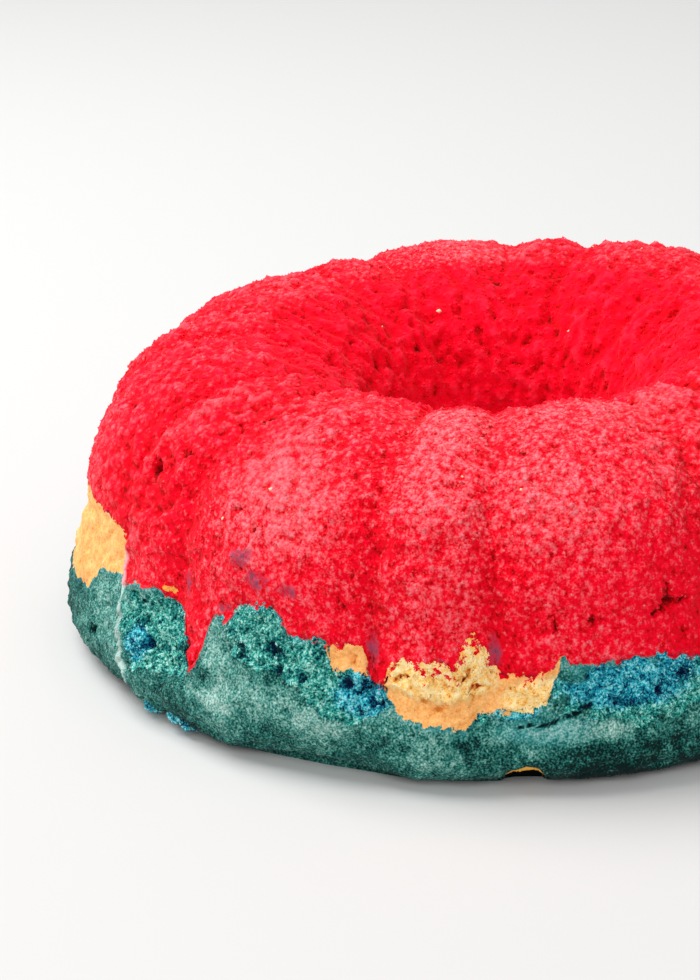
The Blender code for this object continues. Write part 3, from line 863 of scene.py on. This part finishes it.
def red_lumps():
    """Rounded clusters of crumb, half sunk, on the crest and in the hole."""
    draw = np.random.default_rng(SEED + 4)
    first, last = hole_arc(BED_MIDDLE) + LUMPS_IN_HOLE, wall_arc(LOWEST_LUMP)
    azimuth, arc = spread(draw, LUMPS_DRAWN, first, last)
    sparse = smoothstep(arc, *[wall_arc(height) for height in LUMPS_FADE])
    keep = np.flatnonzero(draw.random(len(arc)) > sparse)
    radius = draw.uniform(*LUMP_RADIUS, len(keep)) * MM
    return grain_piece("red_lumps", draw, azimuth[keep], arc[keep], radius, sunk=LUMP_SUNK)


def golden_grains():
    """Crumbs in the golden windows, most and largest where the sponge is open."""
    draw = np.random.default_rng(SEED + 2)
    azimuth, arc = spread(draw, GOLDEN_DRAWN, ARC[CREST], ARC[-1])
    openness, above_red, above_blue = lines(azimuth, arc)
    crumbly = in_zones(azimuth, height_at(arc), "mixed")
    inside = (openness > 0.0) & (above_red < GOLDEN_PAST_LINE * crumbly) & (above_blue > CLEAR)
    kept = inside & (draw.random(len(arc)) < GOLDEN_SHARE + crumbly)
    keep = np.flatnonzero(kept)[:GOLDEN_KEPT]
    larger = MORE_WHERE_MIXED * crumbly[keep]
    radius = (draw.uniform(*GOLDEN_RADIUS, len(keep)) + larger * draw.random(len(keep))) * MM
    return grain_piece("golden_grains", draw, azimuth[keep], arc[keep], radius)


def blue_grains():
    """Crumbs on the foot, most and largest where it is torn, and the fringe at its edge."""
    draw = np.random.default_rng(SEED + 3)
    azimuth, arc = spread(draw, BLUE_DRAWN, wall_arc(BLUE_BELOW), ARC[-1])
    _, _, above_blue = lines(azimuth, arc)
    torn, _ = torn_share(azimuth, height_at(arc), on_surface(azimuth, arc))
    kept = (above_blue < -CLEAR) & (draw.random(len(arc)) < BLUE_SHARE + torn)
    keep = np.flatnonzero(kept)[:BLUE_KEPT]
    larger = MORE_WHERE_TORN * torn[keep]
    radius = draw.uniform(*BLUE_RADIUS, len(keep)) + larger * draw.random(len(keep))
    fringe = [
        draw.triangular(first, (first + last) / 2, last, count) for first, last, count in FRINGE
    ]
    azimuth = np.concatenate([azimuth[keep], *fringe])
    squeezed = np.arange(len(azimuth)) >= len(keep)
    level = draw.uniform(*FRINGE_LEVEL, squeezed.sum()) * MM
    arc = np.concatenate([arc[keep], wall_arc(level)])
    radius = np.concatenate([radius, draw.uniform(*FRINGE_RADIUS, squeezed.sum())]) * MM
    reach = squeezed * FRINGE_REACH * draw.random(len(arc)) ** 2
    return grain_piece("blue_grains", draw, azimuth, arc, radius, squeezed, reach)


# ---- materials
GRAIN = 1.15 * MM  # one crumb of the crust
CELL = 1.7 * MM  # one of its rounded clusters
FINE = 0.55 * MM
CLUMP = 2.8 * MM
PATCH = 24.0 * MM
CALM = 0.55  # how much fainter the fine grain is on soft crust
DRAG = 0.85  # the mould drew the crumb out upwards, so its pattern is stretched this way
WANDER = 2.2 * MM  # size of the ragged flecks where two sponges meet
# How many mm they reach over the line, and how much further where a sponge is torn or mixed
FLECK_REACH = 5.0
TORN_REACH = 5.0
MIXED_REACH = {"above_red_line": 26.0, "above_blue_line": 3.0}
FACTS = (
    "torn", "flutes", "pit", "rim", "flour", "soft", "dip", "below_arch", "lift", "bright",
    *PAINTED_ZONES, "above_red_line", "above_blue_line",
)


def add(tree, kind, inputs=None, stops=None, **settings):
    """Add a node with its settings. An input is a value, or the socket that it is linked to."""
    node = tree.nodes.new(kind)
    for name, value in settings.items():
        setattr(node, name, value)
    for key, value in (inputs or {}).items():
        if isinstance(value, bpy.types.NodeSocket):
            tree.links.new(value, node.inputs[key])
        else:
            node.inputs[key].default_value = value
    if stops:
        ramp = node.color_ramp.elements
        while len(ramp) < len(stops):
            ramp.new(1.0)
        for element, (position, colour) in zip(ramp, stops.items()):
            element.position = position
            element.color = linear(colour)
    return node


def weighed(crumb, start, **weights):
    """Start, a number or a socket, plus each of these values of the crumb times its weight."""
    result = start
    for name, weight in weights.items():
        inputs = {0: crumb[name], 1: weight, 2: result}
        tree = crumb[name].id_data
        result = add(tree, "ShaderNodeMath", inputs, operation="MULTIPLY_ADD").outputs[0]
    return result


def step_between(crumb, low, high, **weights):
    """0 where the weighed values together are below low, 1 where they are above high."""
    value = weighed(crumb, 0.0, **weights)
    inputs = {"Value": value, "From Min": low, "From Max": high}
    step = add(value.id_data, "ShaderNodeMapRange", inputs, interpolation_type="SMOOTHSTEP")
    return step.outputs[0]


def painted(tree, base, layers):
    """Lay each layer's colour over the base by its share."""
    for share, colour in layers:
        if isinstance(colour, str):
            colour = linear(colour)
        inputs = {0: share, 6: base, 7: colour}
        base = add(tree, "ShaderNodeMix", inputs, data_type="RGBA").outputs[2]
    return base


def crumb_values(tree):
    """The crumb's noises, each at its real size, and what the mesh stores."""
    place = add(tree, "ShaderNodeTexCoord").outputs["Object"]
    drawn = add(tree, "ShaderNodeMapping", {"Vector": place, "Scale": (1.0, 1.0, DRAG)}).outputs[0]
    values = {
        fact: add(tree, "ShaderNodeAttribute", attribute_name=fact).outputs["Fac"] for fact in FACTS
    }
    noises = (
        ("grain", drawn, GRAIN, 2.0, 0.6),
        ("fine", place, FINE, 1.0, 0.5),
        ("clump", drawn, CLUMP, 3.0, 0.6),
        ("patch", place, PATCH, 3.0, 0.5),
    )
    for name, vector, size, detail, roughness in noises:
        inputs = {"Vector": vector, "Scale": 1 / size, "Detail": detail, "Roughness": roughness}
        values[name] = add(tree, "ShaderNodeTexNoise", inputs).outputs[0]
    calm = weighed(values, 0.0, soft=CALM)
    for name in ("grain", "fine"):
        values[name] = add(tree, "ShaderNodeMix", {0: calm, 2: values[name], 3: 0.5}).outputs[0]
    cells = add(tree, "ShaderNodeTexVoronoi", {"Vector": place, "Scale": 1 / CELL}, feature="F1")
    values["cells"] = cells.outputs["Distance"]
    values["level"] = add(tree, "ShaderNodeSeparateXYZ", {0: place}).outputs["Z"]
    return values


def look(name, build):
    """A node group that gives a sponge's colour, and the height of its crumb in mm."""
    tree = bpy.data.node_groups.new(name, "ShaderNodeTree")
    tree.interface.new_socket("Color", in_out="OUTPUT", socket_type="NodeSocketColor")
    tree.interface.new_socket("Height", in_out="OUTPUT", socket_type="NodeSocketFloat")
    colour, height = build(tree, crumb_values(tree))
    add(tree, "NodeGroupOutput", {0: colour, 1: height})
    return tree


def red_look(tree, crumb):
    """Red sponge crust: rounded clusters of crumb with saturated red in the gaps between, painted
    shade in its creases, dips, pits and cracks, and pink on top where flour from the mould clings
    and a painted sheen lies."""
    # Lower in creases (flutes), dips and pits: there the ramp paints shade
    depth = weighed(
        crumb, -0.85,
        grain=1.4, fine=0.5, clump=1.1, flutes=-0.22, dip=-0.5, lift=0.1, pit=-0.9, torn=-0.12,
    )
    crust = add(tree, "ShaderNodeValToRGB", {0: depth}, stops={
        0.0: "#7A0004", 0.2: "#C0000C", 0.42: "#E8001C", 0.7: "#F80228", 1.0: "#FF1E3C",
    }).outputs[0]
    # Pale pink: partly flour from the mould, partly painted sheen; less of it in creases, dips and
    # pits
    crumb["floured"] = step_between(
        crumb, 1.53, 3.05,
        grain=1.7, fine=1.2, clump=1, cells=-0.9, flour=0.8, dip=-0.6, lift=0.35,
        flutes=-0.5, torn=-0.2, pit=-0.8,
    )
    thinner = weighed(crumb, 1.0, soft=-0.45)
    smear = step_between(crumb, 1.78, 2.75, smudge=1, clump=1.6, grain=1.2)
    specks = step_between(crumb, 2.2, 2.45, smudge=0.8, grain=1.5, fine=0.7)
    on_rim = step_between(crumb, 0.55, 1.2, rim=1, clump=0.4)
    crumb["soaked"] = step_between(crumb, 0.95, 1.7, above_red_line=-0.45, clump=1.7, grain=1)
    own = step_between(crumb, -0.3, 0.2, above_red_line=1)
    golden = step_between(crumb, 1.5, 1.7, speck=1, grain=1, clump=1)
    colour = painted(tree, crust, [
        (weighed(crumb, 0.0, floured=thinner), "#F4868E"),
        (weighed(crumb, 0.0, soaked=own), "#780824"),
        (smear, "#90405A"),
        (specks, "#6C5A68"),
        (on_rim, "#E8A8AC"),
        (golden, "#F0AA50"),
        (crumb["bright"], "#F2D6B4"),
    ])
    return colour, weighed(crumb, 0.0, grain=0.35, fine=0.1, cells=-0.35)


def golden_look(tree, crumb):
    """Golden sponge: smooth and creamy where it lay against the mould, open and toasted above."""
    # pit darkens the tone: painted shade in pits and cracks
    tone = weighed(crumb, -1.03, grain=1.6, fine=0.6, clump=1.4, lift=0.2, pit=-0.9)
    open_crumb = add(tree, "ShaderNodeValToRGB", {0: tone}, stops={
        0.0: "#A22814", 0.2: "#CC7024", 0.4: "#F4B25A", 0.65: "#FFD07C", 1.0: "#FFE6AC",
    }).outputs[0]
    # pit darkens the tone: painted shade in pits and cracks
    tone = weighed(crumb, -0.81, grain=0.7, fine=0.7, clump=0.5, patch=0.6, pit=-0.8)
    smooth_skin = add(tree, "ShaderNodeValToRGB", {0: tone}, stops={
        0.0: "#C9752F", 0.3: "#EFA45A", 0.6: "#FBC078", 1.0: "#FFE2AC",
    }).outputs[0]
    crumb["is_open"] = step_between(crumb, 0.05, 0.45, mixed=1)
    colour = painted(tree, smooth_skin, [(crumb["is_open"], open_crumb)])
    crumb["height"] = weighed(crumb, 0.0, grain=0.6, fine=0.15, clump=1.3)
    strength = weighed(crumb, 0.2, is_open=0.8)
    return colour, weighed(crumb, 0.0, height=strength)


def blue_look(tree, crumb):
    """Blue-green sponge: a dusty grey-green crust, darker teal towards the foot, partly its own
    colour and partly painted shade, and bright blue-green crumb with dark pores where the crust
    came off."""
    # Darker below 9 mm: partly the crust's deeper teal there, partly painted shade where the foot
    # curves under
    crumb["off_foot"] = step_between(crumb, 0.0, 9.0 * MM, level=1)
    # pit darkens the tone: painted shade in pits and cracks
    tone = weighed(
        crumb, -1.69,
        grain=0.5, fine=1.3, clump=0.8, patch=1.1, off_foot=0.26, lift=0.1, dusty=0.22,
        pit=-0.9, stain=-0.32,
    )
    crust = add(tree, "ShaderNodeValToRGB", {0: tone}, stops={
        0.0: "#04201F", 0.2: "#17544E", 0.42: "#3A8277", 0.68: "#84B2A8", 1.0: "#C2DCD2",
    }).outputs[0]
    # pit darkens the torn crumb: painted shade in its pits
    tone = weighed(crumb, -1.75, grain=1.5, fine=1.6, clump=1.4, lift=0.25, pit=-0.55)
    green_crumb = add(tree, "ShaderNodeValToRGB", {0: tone}, stops={
        0.0: "#03203A", 0.16: "#06484E", 0.4: "#1E827A", 0.65: "#4AB4A6", 1.0: "#B8F0E2",
    }).outputs[0]
    blue_crumb = add(tree, "ShaderNodeValToRGB", {0: tone}, stops={
        0.0: "#03143E", 0.18: "#064060", 0.4: "#0D7690", 0.65: "#2CB2C0", 1.0: "#98E4EA",
    }).outputs[0]
    crumb["near_red"] = step_between(crumb, -0.5, 1.1, above_blue_line=0.4, clump=1.5)
    blueness = step_between(crumb, 0.6, 1.1, bluer=1, clump=1, near_red=0.3)
    open_crumb = painted(tree, green_crumb, [(blueness, blue_crumb)])
    crumb["is_open"] = step_between(crumb, 0.6, 1.15, torn=1, clump=1)
    in_lip = step_between(crumb, 0.0, 0.2, below_arch=1)
    # Below the lip, near-black: painted shadow inside the arch
    past_lip = step_between(crumb, LIP - 0.1, LIP + 0.2, below_arch=1)
    on_rim = step_between(crumb, 0.55, 1.35, rim=1, clump=0.7)
    bluish = weighed(crumb, 0.0, bluer=0.3, pit=-0.3, near_red=0.3)
    colour = painted(tree, crust, [
        (bluish, "#2C9AA4"),
        (crumb["is_open"], open_crumb),
        (on_rim, "#B4D0C8"),
        (crumb["bright"], blue_crumb),
        (in_lip, "#F0AC44"),
        (past_lip, "#020C0C"),
    ])
    crust_height = weighed(crumb, 0.0, grain=0.2, fine=0.12, clump=0.2)
    deeper = weighed(crumb, 0.0, grain=0.5, clump=1)
    return colour, weighed(crumb, crust_height, is_open=deeper)


def sponge_material(colour, looks):
    """Baked sponge: dull and rough all over, with a faint fuzz of crumb that pales it at grazing
    angles. Near a meeting line its flecks take the neighbour's colour."""
    material = bpy.data.materials.new("baked " + colour + " sponge crust")
    material.use_nodes = True
    tree = material.node_tree
    shader = tree.nodes["Principled BSDF"]
    shader.inputs["Roughness"].default_value = 0.9
    shader.inputs["Specular IOR Level"].default_value = 0.06
    shader.inputs["Sheen Weight"].default_value = 0.05
    shader.inputs["Sheen Roughness"].default_value = 0.5
    groups = {name: add(tree, "ShaderNodeGroup", node_tree=group) for name, group in looks.items()}
    place = add(tree, "ShaderNodeTexCoord").outputs["Object"]
    inputs = {"Vector": place, "Scale": 1 / WANDER, "Detail": 4.0, "Roughness": 0.7}
    flecks = add(tree, "ShaderNodeTexNoise", inputs).outputs[0]
    facts = {
        fact: add(tree, "ShaderNodeAttribute", attribute_name=fact).outputs["Fac"]
        for fact in ("mixed", "torn", *MIXED_REACH)
    }
    swing = add(tree, "ShaderNodeMath", {0: flecks, 1: 0.5}, operation="SUBTRACT")
    facts["swing"] = swing.outputs[0]
    past_line = []
    for line, mixed_reach in MIXED_REACH.items():
        reach = weighed(facts, FLECK_REACH, mixed=mixed_reach, torn=TORN_REACH)
        past_line.append(step_between(facts, -0.12, 0.12, swing=reach, **{line: 1.0}))
    is_red, not_blue = past_line
    base = painted(tree, groups["blue"].outputs["Color"], [
        (not_blue, groups["golden"].outputs["Color"]),
        (is_red, groups["red"].outputs["Color"]),
    ])
    tree.links.new(base, shader.inputs["Base Color"])
    bump = add(tree, "ShaderNodeBump", {"Height": groups[colour].outputs["Height"], "Distance": MM})
    tree.links.new(bump.outputs["Normal"], shader.inputs["Normal"])
    return material


def floor_material():
    """White matte floor: an even, pale ground that throws soft light back under the foot."""
    material = bpy.data.materials.new("white matte floor")
    material.use_nodes = True
    shader = material.node_tree.nodes["Principled BSDF"]
    shader.inputs["Base Color"].default_value = linear("#CECECD")
    shader.inputs["Roughness"].default_value = 0.9
    return material


# ---- camera, light and floor
FRAME_HEIGHT = 980.0  # pixels
FOCAL_LENGTH = 2600.0  # pixels
SENSOR = 36.0  # mm, along the frame's height
EYE = (-0.0450, -0.6918, 0.3086)
LOOKS_DOWN = 21.73
ROLL = -3.08
AMBIENT = 0.5
LIGHTS = (  # square ones that face the cake: name, place, size, power
    ("window", (-0.7, 0.45, 1.4), 1.0, 27.0),
    ("fill", (-0.3, -1.3, 1.1), 1.2, 11.0),
)


def camera():
    """Raised, looking down at the cake, a little tilted."""
    lens = bpy.data.cameras.new("camera")
    lens.sensor_width = SENSOR
    lens.lens = FOCAL_LENGTH / FRAME_HEIGHT * SENSOR
    eye = bpy.data.objects.new("camera", lens)
    bpy.context.scene.collection.objects.link(eye)
    tilt = Euler((math.radians(90.0 - LOOKS_DOWN), 0.0, 0.0)).to_matrix().to_4x4()
    roll = Matrix.Rotation(math.radians(ROLL), 4, "Z")
    eye.matrix_world = Matrix.Translation(EYE) @ tilt @ roll
    bpy.context.scene.camera = eye


def studio():
    world = bpy.data.worlds.new("studio")
    bpy.context.scene.world = world
    world.use_nodes = True
    background = world.node_tree.nodes["Background"]
    background.inputs["Color"].default_value = (1.0, 1.0, 1.0, 1.0)
    background.inputs["Strength"].default_value = AMBIENT
    for name, place, size, power in LIGHTS:
        light = bpy.data.lights.new(name, "AREA")
        light.size = size
        light.energy = power
        lamp = bpy.data.objects.new(name, light)
        lamp.location = place
        lamp.rotation_mode = "QUATERNION"
        lamp.rotation_quaternion = (-Vector(place)).to_track_quat("-Z", "Y")
        bpy.context.scene.collection.objects.link(lamp)
    deselect()
    bpy.ops.mesh.primitive_plane_add(size=12.0)
    floor = bpy.context.object
    floor.name = "floor"
    floor.data.materials.append(floor_material())


# ---- the cake
def main():
    bpy.context.scene.view_settings.view_transform = "Standard"
    camera()
    studio()
    builders = {"red": red_look, "golden": golden_look, "blue": blue_look}
    looks = {colour: look(colour + " crumb", build) for colour, build in builders.items()}
    sponges = (
        ("red", WALL_ROWS + HOLE_ROWS + 1 + 3, red_place, (red_grains, red_lumps)),
        ("golden", TIP_ROWS + 1 + 4, golden_place, (golden_grains,)),
        ("blue", BLUE_ROWS + 1 + 3, blue_place, (blue_grains,)),
    )
    for colour, rows, place_of, loose in sponges:
        ring = spun_ring(colour + "_crumb", rows)
        settle(ring, place_of)
        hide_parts(colour + "_sponge")
        material = sponge_material(colour, looks)
        for piece in [ring] + [grains() for grains in loose]:
            piece.data.materials.append(material)
            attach(piece, "root")


main()
